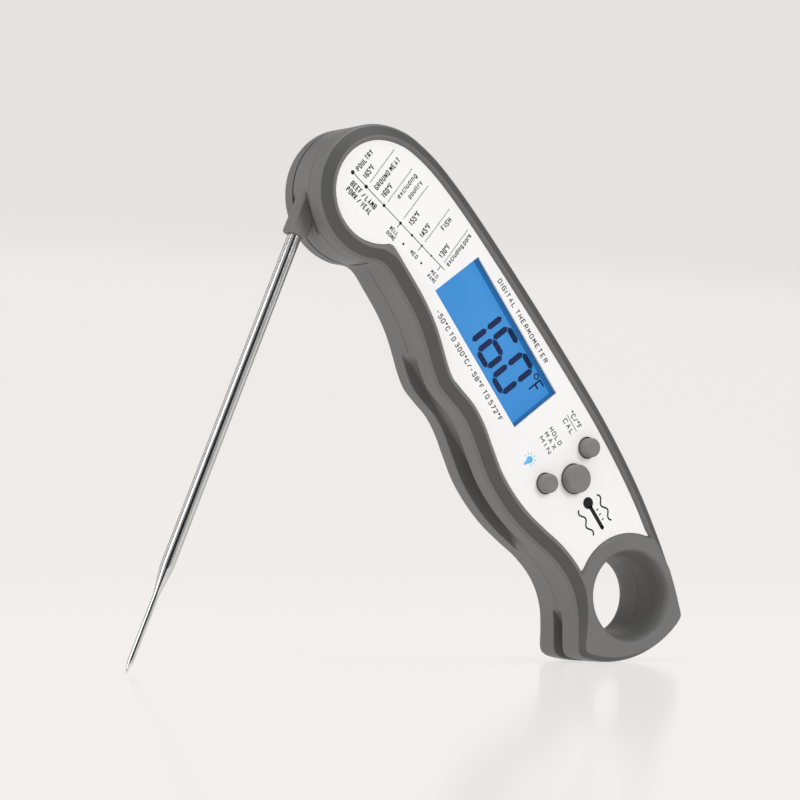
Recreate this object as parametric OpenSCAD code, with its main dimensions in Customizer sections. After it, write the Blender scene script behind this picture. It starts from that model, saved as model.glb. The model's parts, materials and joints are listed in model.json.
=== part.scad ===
// Folding digital probe thermometer, standing open like a tent on its probe tip and its ring end.
// Local frame of the handle: origin on the fold axis, +x towards the ring end, +y towards the
// straight edge, +z out of the display face. z = 0 is the plane where the two shells meet.

/* [Handle] */
// Distance from the fold axis to the centre of the hanging ring
ring_x = 126.25; // [124:0.25:130]
// Radius of the round head that carries the fold joint
head_r = 17.3; // [17.1:0.1:18]
// Height of the display face rim above the parting plane
face_top = 11; // [10.8:0.1:12]
// Depth of the back face below the parting plane
back_depth = 10; // [9.8:0.1:11]
// Width of the sloped rim around the display face
bevel_w = 3.2; // [2:0.1:3.4]
// Wall thickness of the shells
wall = 2.2; // [1.8:0.1:2.6]
// Slope of the handle when it stands on the ring end
handle_tilt = 55; // [50:1:60]

/* [Probe] */
// Distance from the fold axis to the tip, measured along the probe
probe_reach = 134.6; // [130:0.2:136]
// Sideways distance from the fold axis to the probe centre line
probe_offset = 13; // [12.6:0.1:13.2]
// Diameter of the probe tube
probe_d = 3.5; // [3:0.1:4]
// Diameter of the thin measuring end
thin_d = 1.6; // [1.2:0.1:2]
// Length of the thin measuring end with its point
thin_len = 20.5; // [15:0.5:25]
// Length of the cone between the tube and the thin end
taper_len = 7; // [4:0.5:10]
// Length of the sharp point
point_len = 3.2; // [2:0.2:5]
// Radius of the moulded sleeve that grips the probe
sleeve_r = 2.8; // [2.6:0.1:3]

/* [Display and buttons] */
// Length of the display window along the handle
window_l = 41.6; // [38:0.2:42]
// Height of the display window across the handle
window_h = 15.8; // [14:0.2:16]
// Radius of the two small button caps
small_cap_r = 2.5; // [2.2:0.1:2.6]
// Radius of the large button cap
large_cap_r = 3.7; // [3.4:0.1:3.8]
// Height of the button caps above the printed face
cap_rise = 2.7; // [2:0.1:3]
// Travel of each button
button_travel = 0.5; // [0.3:0.1:0.5]

/* [Battery and magnets] */
// Radius of the coin cell
cell_r = 10; // [9.5:0.1:10]
// Height of the coin cell
cell_h = 3.2; // [2.5:0.1:3.2]
// Radius of the battery cover
cover_r = 11.5; // [11.3:0.1:11.6]
// Radius of each holding magnet
magnet_r = 4; // [3:0.5:4]

/* [Hidden] */
$fn = 64;
eps = 0.01;

// Levels through the thickness, from the back to the front
back_z = -back_depth;
back_floor_z = back_z + 2;
ceiling_z = face_top - 2.8;
plate_floor_z = face_top - 1.25;
plate_top_z = face_top - 0.65;
glass_t = 1.1;
glass_z = ceiling_z - 1.9;
lens_z = ceiling_z + 1.15;
board_z = 3.6;
board_t = 1.2;
board_top = board_z + board_t;

// Fold joint
hub_r = 17;
hub_half = 3.9;
pocket_r = 17.4;
pocket_half = 4.2;
pin_r = 2.5;
pin_bore_r = 2.55;
sleeve_end = 16.9;
pin_low = -7;
hub_magnet_c = [-9, 3];
pin_high = 7.6;

// Ring end
ring_c = [ring_x, 3.8];
ring_bore_r = 10;
ring_mouth_r = 12;
ring_band_r = 16.2;
lip = 2;

// Window and buttons
window_c = [49.5, 7.1];
unit_c = [87.2, 14.8];
hold_c = [91.4, 6.8];
light_c = [87.3, -1.2];
small_hole_r = small_cap_r + 0.32;
large_hole_r = large_cap_r + 0.3;

// Battery, magnets and screws
battery_c = [50, 6.8];
cover_hole_r = cover_r + 0.15;
lug_r = cover_r + 0.9;
well_r = cell_r + 0.3;
magnet_c = [[30, 6.8], [93, 5.5]];
screw_c = [[77, -6], [77.2, 18.6], [104, -2.4], [104.5, 16.6]];
boss_r = 2.4;
screw_r = 1.1;

// Groove along the edge that the folded probe lies in
groove_top_y = -10.8;
groove_half = 2.2;
groove_mouth = 3.7;

// Points of the handle's outline, joined by a smooth closed curve, clockwise from the finger notch
head_arc = [for (a = [-50:-17.5:-225]) head_r * [cos(a), sin(a)]];
straight_edge = [[-7.6, 15.9], [-3, 17.9], [3, 19.6], [11, 20.9], [22, 22], [36, 22.9], [52, 23.7],
    [68, 24.25], [84, 24.5], [97, 23.95], [109, 22.8], [120, 20.9], [130, 18.5], [137.4, 16.1]];
ring_edge = [[140.6, 14.7], [141.8, 12.3], [142.4, 8], [142.2, 3], [141.2, -2], [139.2, -7],
    [136.3, -11.6], [133.2, -14.9]];
toe = [[131.2, -16.6], [129.6, -17.1], [127.8, -16.4]];
finger_grip = [[124.5, -14.1], [120, -11.4], [115, -9.7], [110, -9.3], [104, -10.2], [98, -12.1],
    [91, -13.95], [84, -14.75], [77, -14.6], [70, -13.3], [64, -12.05], [59, -11.8], [54, -12.65],
    [49.5, -13.2], [45, -12.4], [40, -10.9], [35, -9.6], [29, -8.85], [22, -8.7],
    [16.6, -8.85], [14.2, -10]];
outline_knots = concat(head_arc, straight_edge, ring_edge, toe, finger_grip);

// Centripetal curve through four points, at the share t between the middle two
function knot_gap(p, q) = sqrt(norm(q - p));
function blend(p, q, a, b, t) = ((b - t) * p + (t - a) * q) / (b - a);
function curve_point(p0, p1, p2, p3, share) =
    let (t1 = knot_gap(p0, p1), t2 = t1 + knot_gap(p1, p2), t3 = t2 + knot_gap(p2, p3),
         t = t1 + share * (t2 - t1),
         a1 = blend(p0, p1, 0, t1, t), a2 = blend(p1, p2, t1, t2, t), a3 = blend(p2, p3, t2, t3, t),
         b1 = blend(a1, a2, 0, t2, t), b2 = blend(a2, a3, t1, t3, t))
    blend(b1, b2, t1, t2, t);
function closed_curve(k, parts) =
    let (n = len(k))
    [for (i = [0:n - 1], j = [0:parts - 1])
        curve_point(k[(i + n - 1) % n], k[i], k[(i + 1) % n], k[(i + 2) % n], j / parts)];
outline = closed_curve(outline_knots, 2);

// The outline moved inwards by d, less around the narrow ring end
function unit(v) = v / norm(v);
function inward(p, i) =
    let (n = len(p), t = unit(p[(i + 1) % n] - p[(i + n - 1) % n]))
    [t[1], -t[0]];
function ring_share(x) = x < 116 ? 1 : x > 128 ? 0.42 : 1 - 0.58 * (x - 116) / 12;
function inset(d) =
    [for (i = [0:len(outline) - 1]) outline[i] + d * ring_share(outline[i][0]) * inward(outline, i)];

// Height and inset of each terrace of the sloped rims of the two shells
front_levels = [for (k = [0:5]) [face_top - 2.6 + 0.52 * k, bevel_w * k / 5]];
back_levels = [for (k = [0:4]) [back_z + 2.2 - 0.55 * k, 3.2 * pow(k / 4, 1.6)]];

// The stand: both the toe of the ring end and the probe tip touch the ground
stand_h = max([for (p = outline) p[0] * sin(handle_tilt) - p[1] * cos(handle_tilt)]);
tip_r = norm([probe_reach, probe_offset]);
probe_slope = atan2(probe_reach, probe_offset) + acos(stand_h / tip_r);
probe_open = probe_slope - handle_tilt;
tip_x = probe_reach * cos(probe_slope) - probe_offset * sin(probe_slope);
far_x = max([for (p = outline) p[0] * cos(handle_tilt) + p[1] * sin(handle_tilt)]);
hinge_x = -(tip_x + far_x) / 2;
cap_top_z = plate_top_z + cap_rise;
hinge_y = (cap_top_z + back_z) / 2;

module placed() translate([hinge_x, hinge_y, stand_h]) rotate([90, 0, 0]) rotate([0, 0, -handle_tilt]) children();
module swung() placed() rotate([0, 0, -probe_open]) children();
module at(c, z = 0) translate([c[0], c[1], z]) children();

// A straight slab between two heights
module slab(low, high) translate([0, 0, low]) linear_extrude(high - low) children();
module disc(r, low, high) translate([0, 0, low]) cylinder(r = r, h = high - low);
module box(low, high) translate(low) cube(high - low);

// Space inside the shells for the electronics, seen from the front
module cavity_2d(margin) {
    intersection() {
        polygon(inset(wall + margin));
        translate([20 + margin, -8.6 + margin]) square([88 - 2 * margin, 34]);
    }
}

// Printed face seen from the front: the inside of the rim, cut by the band of the ring
module plate_2d(gap) {
    difference() {
        intersection() {
            polygon(inset(3.9 + gap));
            translate([-20, -20]) square([138, 45]);
        }
        translate(ring_c) circle(r = ring_band_r + gap);
    }
}

module window_2d(gap) translate(window_c) square([window_l + 2 * gap, window_h + 2 * gap], center = true);

// Groove for the folded probe, with sides that open towards the edge
module probe_groove() {
    translate([17.5, 0, 0]) rotate([90, 0, 90]) linear_extrude(124)
        polygon([[groove_top_y, -groove_half], [-18, -groove_mouth], [-18, groove_mouth], [groove_top_y, groove_half]]);
}

// Room between the two head discs for the hub and the swing of the sleeve
module hub_room() {
    disc(pocket_r, -pocket_half, pocket_half);
    slab(-pocket_half, pocket_half)
        polygon([[0, 0], 30 * [cos(108), sin(108)], 30 * [cos(150), sin(150)], [-30, -10], [0, -30],
            30 * [cos(-36), sin(-36)]]);
}

// Ring hole with a wider mouth at each face
module ring_hole() {
    at(ring_c) disc(ring_bore_r, back_z - 1, face_top + 1);
    at(ring_c, face_top - lip) cylinder(r1 = ring_bore_r, r2 = ring_mouth_r, h = lip + eps);
    at(ring_c, back_z - eps) cylinder(r1 = ring_bore_r + 1, r2 = ring_bore_r, h = 1);
}

module front_shell() {
    color([0.45, 0.45, 0.45]) placed() difference() {
        union() {
            difference() {
                for (l = front_levels) slab(0, l[0]) polygon(inset(l[1]));
                slab(-1, ceiling_z) cavity_2d(0);
            }
            for (c = screw_c) at(c) disc(boss_r, 0, ceiling_z + eps);
        }
        slab(plate_floor_z, face_top + 1) plate_2d(0);
        slab(ceiling_z - 1, face_top) window_2d(0);
        probe_groove();
        hub_room();
        ring_hole();
        disc(pin_r, -1, pin_high);
        at(unit_c) disc(small_hole_r, 0, face_top + 1);
        at(hold_c) disc(large_hole_r, 0, face_top + 1);
        at(light_c) disc(small_hole_r, 0, face_top + 1);
        for (c = screw_c) at(c) disc(screw_r, -1, 6);
    }
}

module back_shell() {
    color([0.45, 0.45, 0.45]) placed() difference() {
        union() {
            difference() {
                for (l = back_levels) slab(l[0], 0) polygon(inset(l[1]));
                slab(back_floor_z, 1) cavity_2d(0);
            }
            at(battery_c) disc(well_r + 2.6, back_floor_z - eps, -3);
            for (c = magnet_c) at(c) disc(magnet_r + 1.2, back_floor_z - eps, -7);
            for (c = screw_c) at(c) disc(boss_r, back_floor_z - eps, 0);
        }
        gasket_groove();
        probe_groove();
        hub_room();
        ring_hole();
        disc(pin_r, pin_low, 1);
        lead_channel();
        battery_opening();
        for (c = magnet_c) at(c) disc(magnet_r + 0.05, back_z + 0.6, 0);
        for (c = screw_c) at(c) screw_hole();
    }
}

module screw_hole() {
    disc(screw_r + 0.15, back_z - 1, 1);
    disc(2, back_z - 1, back_z + 3);
}

// Channel that takes the sensor leads from beside the fold axis into the cavity
module lead_channel() {
    disc(6.6, -6.4, 0);
    box([4, -1.5, -6.4], [21, 1.5, -3]);
}

// Hole, locking groove and entry notches for the battery cover, and the well for the cell
module battery_opening() {
    at(battery_c) {
        disc(cover_hole_r, back_z - 1, back_z + 2);
        disc(lug_r + 0.2, back_z + 1.6, back_z + 2.8);
        disc(well_r, back_z + 1, 0);
        for (a = [45, 225]) rotate(a) box([0, -3.2, back_z - 1], [lug_r + 0.2, 3.2, back_z + 2]);
        translate([-3, cell_r + 0.05, -6.4]) cube([6, 1.2, 10]);
    }
}

// Seal between the shells: a thin band just outside the cavity
module gasket_2d(near, far) {
    difference() {
        cavity_2d(-far);
        cavity_2d(-near);
    }
}
module gasket_groove() slab(-0.8, 1) gasket_2d(0.45, 1.25);
module shell_gasket() color([0.1, 0.1, 0.1]) placed() slab(-0.8, 0) gasket_2d(0.45, 1.25);

module face_plate() {
    color([0.96, 0.96, 0.96]) placed() slab(plate_floor_z, plate_top_z) difference() {
        plate_2d(0.05);
        window_2d(0.02);
        translate(unit_c) circle(r = small_hole_r);
        translate(hold_c) circle(r = large_hole_r);
        translate(light_c) circle(r = small_hole_r);
    }
}

module window_lens() color([0.6, 0.8, 1, 0.4]) placed() slab(lens_z, plate_top_z) window_2d(-0.02);

// Carrier that holds the display glass, the light panel and the contact strips
module lcd_frame() {
    color([0.2, 0.5, 0.8]) placed() difference() {
        at(window_c) box([-24, -12.2, board_top], [24, 12.2, ceiling_z]);
        slab(0, face_top) window_2d(0.25);
        at(window_c) box([-22.6, -11.3, 0], [22.6, 11.3, glass_z + glass_t + 0.05]);
    }
}

module lcd_glass() color([0.25, 0.5, 0.8]) placed() at(window_c) box([-22.5, -11.2, glass_z], [22.5, 11.2, glass_z + glass_t]);
module backlight_panel() color([0.2, 0.55, 0.85]) placed() slab(board_top + 0.4, glass_z - 0.05) window_2d(0.2);
module zebra_strips() {
    color([0.2, 0.2, 0.2]) placed()
        for (s = [-1, 1]) at(window_c + [0, s * 10.05]) box([-19.8, -0.8, board_top], [19.8, 0.8, glass_z]);
}

module circuit_board() {
    color([0.1, 0.4, 0.2]) placed() slab(board_z, board_top) difference() {
        cavity_2d(0.5);
        for (c = screw_c) translate(c) circle(r = boss_r + 0.2);
    }
}

module controller_chip() {
    color([0.08, 0.08, 0.08]) placed() {
        at([84, 4], board_z - 1) box([-4, -4, 0], [4, 4, 1]);
        at([74, 6.5], board_z - 0.8) box([-2, -1, 0], [2, 1, 0.8]);
    }
}

module button_switches() {
    color([0.15, 0.15, 0.15]) placed() for (c = [unit_c, hold_c, light_c]) at(c) {
        box([-2.2, -2.2, board_top], [2.2, 2.2, board_top + 1.4]);
        disc(1, board_top + 1.4 - eps, ceiling_z - 1.4);
    }
}

module reed_switch() {
    color([0.7, 0.8, 0.75]) placed() translate([22, -5.6, board_z - 1.1]) rotate([-90, 0, 0]) cylinder(r = 1, h = 9);
}

// Side contact of the cell: an upright strip with a foot on the board
module battery_clip() {
    color([0.75, 0.75, 0.7]) placed() at(battery_c) {
        box([-2.5, cell_r + 0.1, -6], [2.5, cell_r + 0.5, board_z]);
        box([-2.5, cell_r + 0.1, board_z - 0.4], [2.5, cell_r + 3, board_z]);
    }
}

// End contact of the cell: a bent leaf between the cell and the board
module battery_spring() {
    color([0.75, 0.75, 0.7]) placed() at(battery_c) rotate([90, 0, 0]) translate([0, 0, -2]) linear_extrude(4)
        polygon([[-6, board_z], [6, board_z], [6, board_z - 0.4], [0, board_z - 0.4], [4.5, -3],
            [-0.5, -3.2], [-0.5, -2.8], [3.7, -2.6], [-1, board_z - 0.4], [-6, board_z - 0.4]]);
}

module battery_cell() {
    color([0.75, 0.75, 0.75]) placed() at(battery_c) {
        disc(cell_r, -6.4, -6.4 + cell_h - 0.7);
        disc(cell_r - 1.2, -6.4 + cell_h - 0.7 - eps, -6.4 + cell_h);
    }
}

module magnets() color([0.6, 0.6, 0.62]) placed() for (c = magnet_c) at(c) disc(magnet_r, back_z + 0.6, back_z + 2.6);

module shell_screws() {
    color([0.6, 0.6, 0.6]) placed() for (c = screw_c) at(c) {
        difference() {
            disc(1.9, back_z + 1.5, back_z + 3);
            for (a = [0, 90]) rotate(a) box([-1.2, -0.25, back_z + 1], [1.2, 0.25, back_z + 2.3]);
        }
        disc(screw_r, back_z + 3 - eps, 5.5);
    }
}

module pivot_pin() color([0.7, 0.7, 0.7]) placed() disc(pin_r, pin_low, pin_high);
module pivot_washers() {
    color([0.9, 0.9, 0.85]) placed() for (z = [hub_half + 0.05, -pocket_half]) difference() {
        disc(z > 0 ? 6 : 3.6, z, z + pocket_half - hub_half - 0.05);
        disc(pin_r, z - 1, z + 1);
    }
}

module hub_leads() {
    color([0.7, 0.1, 0.1]) placed() for (s = [-1, 1]) {
        translate([5, s * 0.7, -5.2]) rotate([0, 90, 0]) cylinder(r = 0.5, h = 19);
        translate([24, s * 0.7, -5.2]) sphere(r = 0.5);
        translate([24, s * 0.7, -5.2]) cylinder(r = 0.5, h = board_z + 5.2);
    }
}

// Drum between the head discs with the sleeve and the web that carries it, folded along +x
module probe_hub() {
    color([0.48, 0.48, 0.48]) swung() difference() {
        union() {
            disc(hub_r, -hub_half, hub_half);
            translate([0, -probe_offset, 0]) rotate([0, 90, 0]) cylinder(r = sleeve_r, h = sleeve_end);
            slab(-1.8, 1.8) polygon([[6, -13], [16.4, -13], [16.4, -11.2], [13.4, -10.2], [8, -8]]);
        }
        disc(pin_bore_r, -5, 5);
        translate([3, -probe_offset, 0]) rotate([0, 90, 0]) cylinder(r = probe_d / 2, h = 20);
        for (s = [-1, 1]) rotate_extrude() translate([12, s * (hub_half - 0.22)]) circle(r = 0.47, $fn = 24);
        for (s = [-1, 1]) slab(s > 0 ? 2.3 : -5, s > 0 ? 5 : -2.3)
            polygon([[7.2, -15.6], [14.9, -8.2], [20, -8.2], [20, -20], [7.2, -20]]);
        lead_room();
        at(hub_magnet_c) disc(1.55, -hub_half - 1, -2.2);
    }
}

// Ring-shaped recess at the back of the hub, and the passage from it to the probe
module lead_room() {
    difference() {
        disc(6.6, -hub_half - 1, -2.2);
        disc(3.8, -hub_half - 2, 0);
    }
    translate([5.2, 0, -2.8]) rotate([90, 0, 0]) cylinder(r = 0.8, h = probe_offset);
}

module hub_o_rings() {
    color([0.1, 0.1, 0.1]) swung() for (s = [-1, 1])
        rotate_extrude() translate([12, s * (hub_half - 0.22)]) circle(r = 0.45, $fn = 24);
}

module hub_magnet() color([0.6, 0.6, 0.62]) swung() at(hub_magnet_c) disc(1.5, -hub_half + 0.1, -2.2);

// Probe along +x: thick tube, long cone, thin end and sharp point, hollow up to the sensor
module probe_tube() {
    thin_x = probe_reach - thin_len;
    color([0.8, 0.8, 0.8]) swung() translate([0, -probe_offset, 0]) rotate([90, 0, 90]) rotate_extrude()
        polygon([[probe_d / 2 - 0.35, 3], [probe_d / 2, 3], [probe_d / 2, thin_x - taper_len],
            [thin_d / 2, thin_x], [thin_d / 2, probe_reach - point_len], [0, probe_reach],
            [0, probe_reach - point_len], [thin_d / 2 - 0.25, probe_reach - point_len - 0.5],
            [thin_d / 2 - 0.25, thin_x], [probe_d / 2 - 0.35, thin_x - taper_len]]);
}

module sensor_bead() {
    color([0.3, 0.3, 0.35]) swung() translate([probe_reach - point_len - 5, -probe_offset, 0]) rotate([0, 90, 0])
        cylinder(r = thin_d / 2 - 0.28, h = 3.5);
}

module sensor_leads() {
    lead_r = 0.2;
    color([0.7, 0.1, 0.1]) swung() for (s = [-1, 1]) translate([4, -probe_offset, s * 0.24]) rotate([0, 90, 0])
        cylinder(r = lead_r, h = probe_reach - point_len - 9);
}

// Button cap with a flange that keeps it under the face
module button(c, r) {
    color([0.5, 0.5, 0.5]) placed() at(c) {
        disc(r, ceiling_z - 0.4, cap_top_z - 0.5);
        translate([0, 0, cap_top_z - 0.5 - eps]) rotate_extrude() {
            square([r - 0.5, 0.5 + eps]);
            intersection() {
                translate([r - 0.5, 0]) circle(r = 0.5);
                square([r, 0.5 + eps]);
            }
        }
        disc(r + 0.9, ceiling_z - 0.85, ceiling_z - 0.05);
    }
}
module unit_button() button(unit_c, small_cap_r);
module hold_button() button(hold_c, large_cap_r);
module light_button() button(light_c, small_cap_r);

// Cover with a coin slot, a neck that carries the seal, and two locking lugs
module battery_cover() {
    color([0.47, 0.47, 0.47]) placed() at(battery_c) difference() {
        union() {
            disc(cover_r, back_z, back_z + 1.9);
            disc(well_r - 0.6, back_z + 1.8, -6.45);
            intersection() {
                disc(lug_r, back_z + 1.7, back_z + 2.6);
                for (a = [0, 180]) rotate(a) box([8, -2.6, back_z], [lug_r, 2.6, 0]);
            }
        }
        box([-5, -0.8, back_z - 1], [5, 0.8, back_z + 0.9]);
        rotate_extrude() translate([well_r - 0.5, -6.95]) circle(r = 0.42, $fn = 24);
    }
}
module cover_o_ring() color([0.1, 0.1, 0.1]) placed() at(battery_c) rotate_extrude() translate([well_r - 0.5, -6.95]) circle(r = 0.4, $fn = 24);

front_shell();
back_shell();
shell_gasket();
face_plate();
window_lens();
lcd_frame();
lcd_glass();
backlight_panel();
zebra_strips();
circuit_board();
controller_chip();
button_switches();
reed_switch();
battery_clip();
battery_spring();
battery_cell();
magnets();
shell_screws();
pivot_pin();
pivot_washers();
hub_leads();
probe_hub();
hub_o_rings();
hub_magnet();
probe_tube();
sensor_bead();
sensor_leads();
unit_button();
hold_button();
light_button();
battery_cover();
cover_o_ring();
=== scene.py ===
"""Folding digital probe thermometer, standing open on a pale studio floor.

Shapes are modelled in the grip's own frame, in millimetres: the origin is on the fold axis, +x runs towards the
ring end, +y towards the straight edge, +z out of the display face. GRIP and PROBE carry them into the row frame.
"""
import json
import math

import bpy
import bmesh
from bpy.props import FloatProperty, FloatVectorProperty, PointerProperty, StringProperty
from mathutils import Matrix, Vector


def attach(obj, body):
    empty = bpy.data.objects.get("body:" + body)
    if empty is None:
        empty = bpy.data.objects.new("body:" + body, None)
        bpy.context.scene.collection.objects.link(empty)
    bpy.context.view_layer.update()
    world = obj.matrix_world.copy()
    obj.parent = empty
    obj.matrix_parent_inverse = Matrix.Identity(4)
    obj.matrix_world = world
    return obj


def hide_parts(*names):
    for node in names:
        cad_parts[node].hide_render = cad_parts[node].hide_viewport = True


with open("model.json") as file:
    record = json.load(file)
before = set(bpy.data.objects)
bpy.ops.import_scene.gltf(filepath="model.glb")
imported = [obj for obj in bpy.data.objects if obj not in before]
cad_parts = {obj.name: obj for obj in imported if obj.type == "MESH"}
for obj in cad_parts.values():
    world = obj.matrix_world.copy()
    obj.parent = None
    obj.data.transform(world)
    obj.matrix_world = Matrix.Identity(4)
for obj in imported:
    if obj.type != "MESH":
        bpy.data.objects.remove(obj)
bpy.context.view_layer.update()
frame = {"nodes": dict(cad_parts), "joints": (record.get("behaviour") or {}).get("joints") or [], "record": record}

bl_info = {
    "name": "Folding meat thermometer",
    "version": (1, 0, 0),
    "blender": (4, 5, 0),
    "location": "View3D > Sidebar > Thermometer",
    "description": "Builds a folding digital probe thermometer piece by piece",
    "category": "Add Mesh",
}

# ---------------------------------------------------------------- places taken from the frame

MM = 0.001
JOINTS = {j["name"]: j for j in frame["joints"]}
MOUNTS = {m["name"]: m for m in frame["record"]["mounts"]}
HINGE = Vector(JOINTS["probe_fold"]["pos_m"])
RING_AT = Vector(MOUNTS["hanging_ring"]["pos_m"])
RING = Vector((126.25, 3.8))
GRIP_SLOPE = math.atan2(RING_AT.z - HINGE.z, RING_AT.x - HINGE.x) - math.atan2(RING.y, RING.x)
OPEN_ANGLE = math.radians(JOINTS["probe_fold"]["range_deg"][1])


def grip_frame():
    """Matrix from the grip's frame in millimetres to the row frame in metres."""
    c = math.cos(GRIP_SLOPE)
    s = math.sin(GRIP_SLOPE)
    turn = Matrix(((c, -s, 0), (0, 0, -1), (s, c, 0))).to_4x4()
    return Matrix.Translation(HINGE) @ turn @ Matrix.Scale(MM, 4)


GRIP = grip_frame()
PROBE = GRIP @ Matrix.Rotation(-OPEN_ANGLE, 4, "Z")


def local_box(node, to_local):
    """Lowest and highest corner of a CAD node in the frame that to_local leads to."""
    points = [to_local @ v.co for v in frame["nodes"][node].data.vertices]
    low = Vector([min(p[i] for p in points) for i in range(3)])
    high = Vector([max(p[i] for p in points) for i in range(3)])
    return low, high


FROM_ROW = GRIP.inverted()
FACE_TOP = local_box("front_shell", FROM_ROW)[1].z
BACK = local_box("back_shell", FROM_ROW)[0].z
PLATE_LOW, PLATE_HIGH = local_box("face_plate", FROM_ROW)
PLATE_TOP = PLATE_HIGH.z
WINDOW_LOW, WINDOW_HIGH = local_box("window_lens", FROM_ROW)
GLASS_TOP = local_box("lcd_glass", FROM_ROW)[1].z
COVER_LOW, COVER_HIGH = local_box("battery_cover", FROM_ROW)
CEILING = local_box("lcd_frame", FROM_ROW)[1].z


def button_place(node):
    """Centre and cap top of a button, in the grip's frame."""
    low, high = local_box(node, FROM_ROW)
    return Vector(((low.x + high.x) / 2, (low.y + high.y) / 2)), high.z


# ---------------------------------------------------------------- fixed sizes, millimetres

HEAD_R = 17.3
HUB_R = 17.25
HUB_HALF = 3.9
PIN_HOLE_R = 2.55
WEB_SIDE = 2.35
ROOM_R = 17.4
ROOM_HALF = 4.2
SWING_R = 30
PROBE_OFFSET = 13.0
PROBE_REACH = 134.6
THIN_R = 0.8
THIN_LENGTH = 20.5
TAPER_LENGTH = 7.0
POINT_LENGTH = 3.2
SLEEVE_R = 3.0
SLEEVE_END_R = 3.15
SLEEVE_OFFSET = 13.15
SLEEVE_END = 17.6
RING_MOUTH_R = 12.2
RING_BAND_R = 16.2
RING_HOLE_R = 10.0
RING_SEAM_R = 10.08
RING_RIM_SHARE = 0.42
RIM_NARROWS_AT = 116
RIM_NARROWS_OVER = 12
PLATE_INSET = 4.1
PLATE_END = 118.2
PLATE_HEAD_R = 13.1
NECK_FROM, NECK_TO = 7.5, 21.5
PLATE_NECK = [(18.5, -4.62), (15.5, -4.62), (13.6, -4.68), (12.7, -4.85), (12.1, -5.25)]
WALL = 2.2
CAVITY_FROM, CAVITY_TO = 20, 108
CAVITY_FLOOR = -8.6
SCREW_R = 2.0
OUTLINE_PARTS = 5

# Steps round a full turn: the hub, large openings, rims, small parts
HUB_ROUND = 160
ROUND = 128
RIM_ROUND = 96
SMALL_ROUND = 64

STRAIGHT_EDGE = [
    (-7.6, 15.9), (-3, 17.9), (3, 19.6), (11, 20.9), (22, 22), (36, 22.9), (52, 23.7),
    (68, 24.25), (84, 24.5), (97, 23.95), (109, 22.8), (120, 20.9), (130, 18.5), (137.4, 16.1),
]
RING_EDGE = [
    (140.6, 14.7), (141.8, 12.3), (142.4, 8), (142.2, 3), (141.2, -2), (139.2, -7),
    (136.3, -11.6), (133.2, -14.9),
]
TOE = [(131.2, -16.6), (129.6, -17.1), (127.8, -16.4)]
FINGER_GRIP = [
    (124.5, -14.1), (120, -11.4), (115, -9.7), (110, -9.3), (104, -10.2), (98, -12.1),
    (91, -13.95), (84, -14.75), (77, -14.6), (70, -13.3), (64, -12.05), (59, -11.8), (54, -12.65),
    (49.5, -13.2), (45, -12.4), (40, -10.9), (35, -9.6), (29, -8.85), (22, -8.7),
    (16.6, -8.85), (14.2, -10),
]


# ---------------------------------------------------------------- outline of the grip


def arc(centre, radius, start, stop, steps):
    """Points on an arc, angles in degrees."""
    angles = [math.radians(start + (stop - start) * i / steps) for i in range(steps + 1)]
    return [Vector((centre[0] + radius * math.cos(a), centre[1] + radius * math.sin(a))) for a in angles]


def between(p, q, a, b, t):
    """Point on the line through p at a and q at b, for the value t."""
    return ((b - t) * p + (t - a) * q) / (b - a)


def curve_point(p0, p1, p2, p3, share):
    """Point at a share of the way from p1 to p2 on the centripetal curve through all four."""
    t1 = math.sqrt((p1 - p0).length)
    t2 = t1 + math.sqrt((p2 - p1).length)
    t3 = t2 + math.sqrt((p3 - p2).length)
    t = t1 + share * (t2 - t1)
    a1 = between(p0, p1, 0, t1, t)
    a2 = between(p1, p2, t1, t2, t)
    a3 = between(p2, p3, t2, t3, t)
    return between(between(a1, a2, 0, t2, t), between(a2, a3, t1, t3, t), t1, t2, t)


def closed_curve(knots, parts):
    """Smooth closed line through the knots, each stretch cut in equal shares."""
    n = len(knots)
    return [
        curve_point(knots[i - 1], knots[i], knots[(i + 1) % n], knots[(i + 2) % n], j / parts)
        for i in range(n)
        for j in range(parts)
    ]


def outline_knots():
    """Outline of the grip: head, straight edge, ring end, toe, finger side."""
    head = arc((0, 0), HEAD_R, -50, -225, 10)
    return head + [Vector(p) for p in STRAIGHT_EDGE + RING_EDGE + TOE + FINGER_GRIP]


OUTLINE = closed_curve(outline_knots(), OUTLINE_PARTS)


def inward(points, i):
    """Unit vector into the outline at point i."""
    t = points[(i + 1) % len(points)] - points[i - 1]
    return Vector((t.y, -t.x)).normalized()


def ring_share(x):
    """Share of the full rim width at x: the rim narrows towards the ring end."""
    return min(1.0, max(RING_RIM_SHARE, 1 - (1 - RING_RIM_SHARE) * (x - RIM_NARROWS_AT) / RIM_NARROWS_OVER))


def inset(distance):
    """Outline moved inwards, by less round the ring end."""
    return [p + distance * ring_share(p.x) * inward(OUTLINE, i) for i, p in enumerate(OUTLINE)]


def edge_at(x):
    """Height y of the finger side of the outline at x."""
    tip_x, tip_y = TOE[1]
    if x >= tip_x:
        return tip_y
    side = [p for p in OUTLINE if p.y < 0 and 12 < p.x < tip_x]
    a, b = sorted(side, key=lambda p: abs(p.x - x))[:2]
    span = b.x - a.x
    return a.y if abs(span) < 1e-6 else a.y + (b.y - a.y) * (x - a.x) / span


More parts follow.
